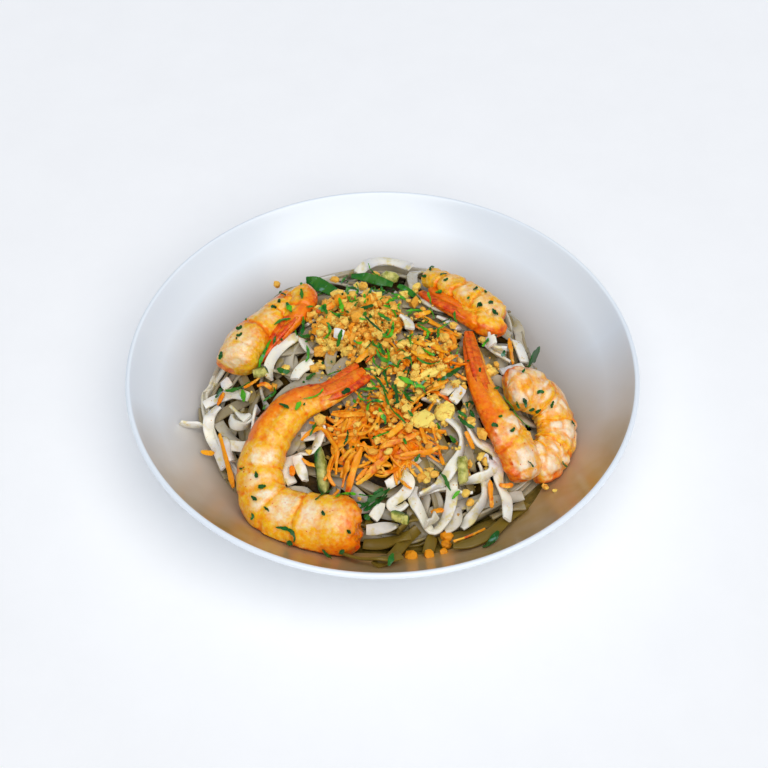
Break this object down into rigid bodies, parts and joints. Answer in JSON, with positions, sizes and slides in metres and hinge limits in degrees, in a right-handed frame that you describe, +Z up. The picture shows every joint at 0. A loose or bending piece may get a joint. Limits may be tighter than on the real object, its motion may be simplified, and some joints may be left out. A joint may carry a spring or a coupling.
{
  "type": "pad thai in a bowl",
  "caption": "Wide shallow bowl on a foot ring, filled with a heap of flat rice noodles topped with curled prawns, shredded carrot, crushed peanut, courgette and green leaves.",
  "frame": {"origin": "middle of the foot ring's underside, on the surface the bowl stands on", "axes": "+Z up along the bowl's axis; +Y towards the two prawns that lie together at the back, so the large curled prawn is at the front left"},
  "size_m": [0.2194, 0.2194, 0.06],
  "materials": {
    "porcelain": "plain white glaze, glossy",
    "noodle": "cooked rice noodle, oily sheen",
    "prawn": "cooked prawn, moist sheen",
    "carrot": "raw shredded carrot",
    "peanut": "crushed roasted peanut, dry",
    "courgette": "fried courgette, moist",
    "leaf": "fresh green leaf"
  },
  "bodies": {
    "root": {"bowl": "porcelain", "noodle_heap": "noodle", "prawn_front": "prawn", "prawn_right": "prawn", "prawn_back_left": "prawn", "prawn_back_right": "prawn", "carrot_heap_front": "carrot", "carrot_heap_back": "carrot", "peanut_heap": "peanut", "courgette_1": "courgette", "courgette_2": "courgette", "courgette_3": "courgette", "courgette_4": "courgette", "scallion_1": "leaf", "scallion_2": "leaf", "scallion_3": "leaf", "leaf_right": "leaf", "leaf_front": "leaf"}
  },
  "joints": []
}
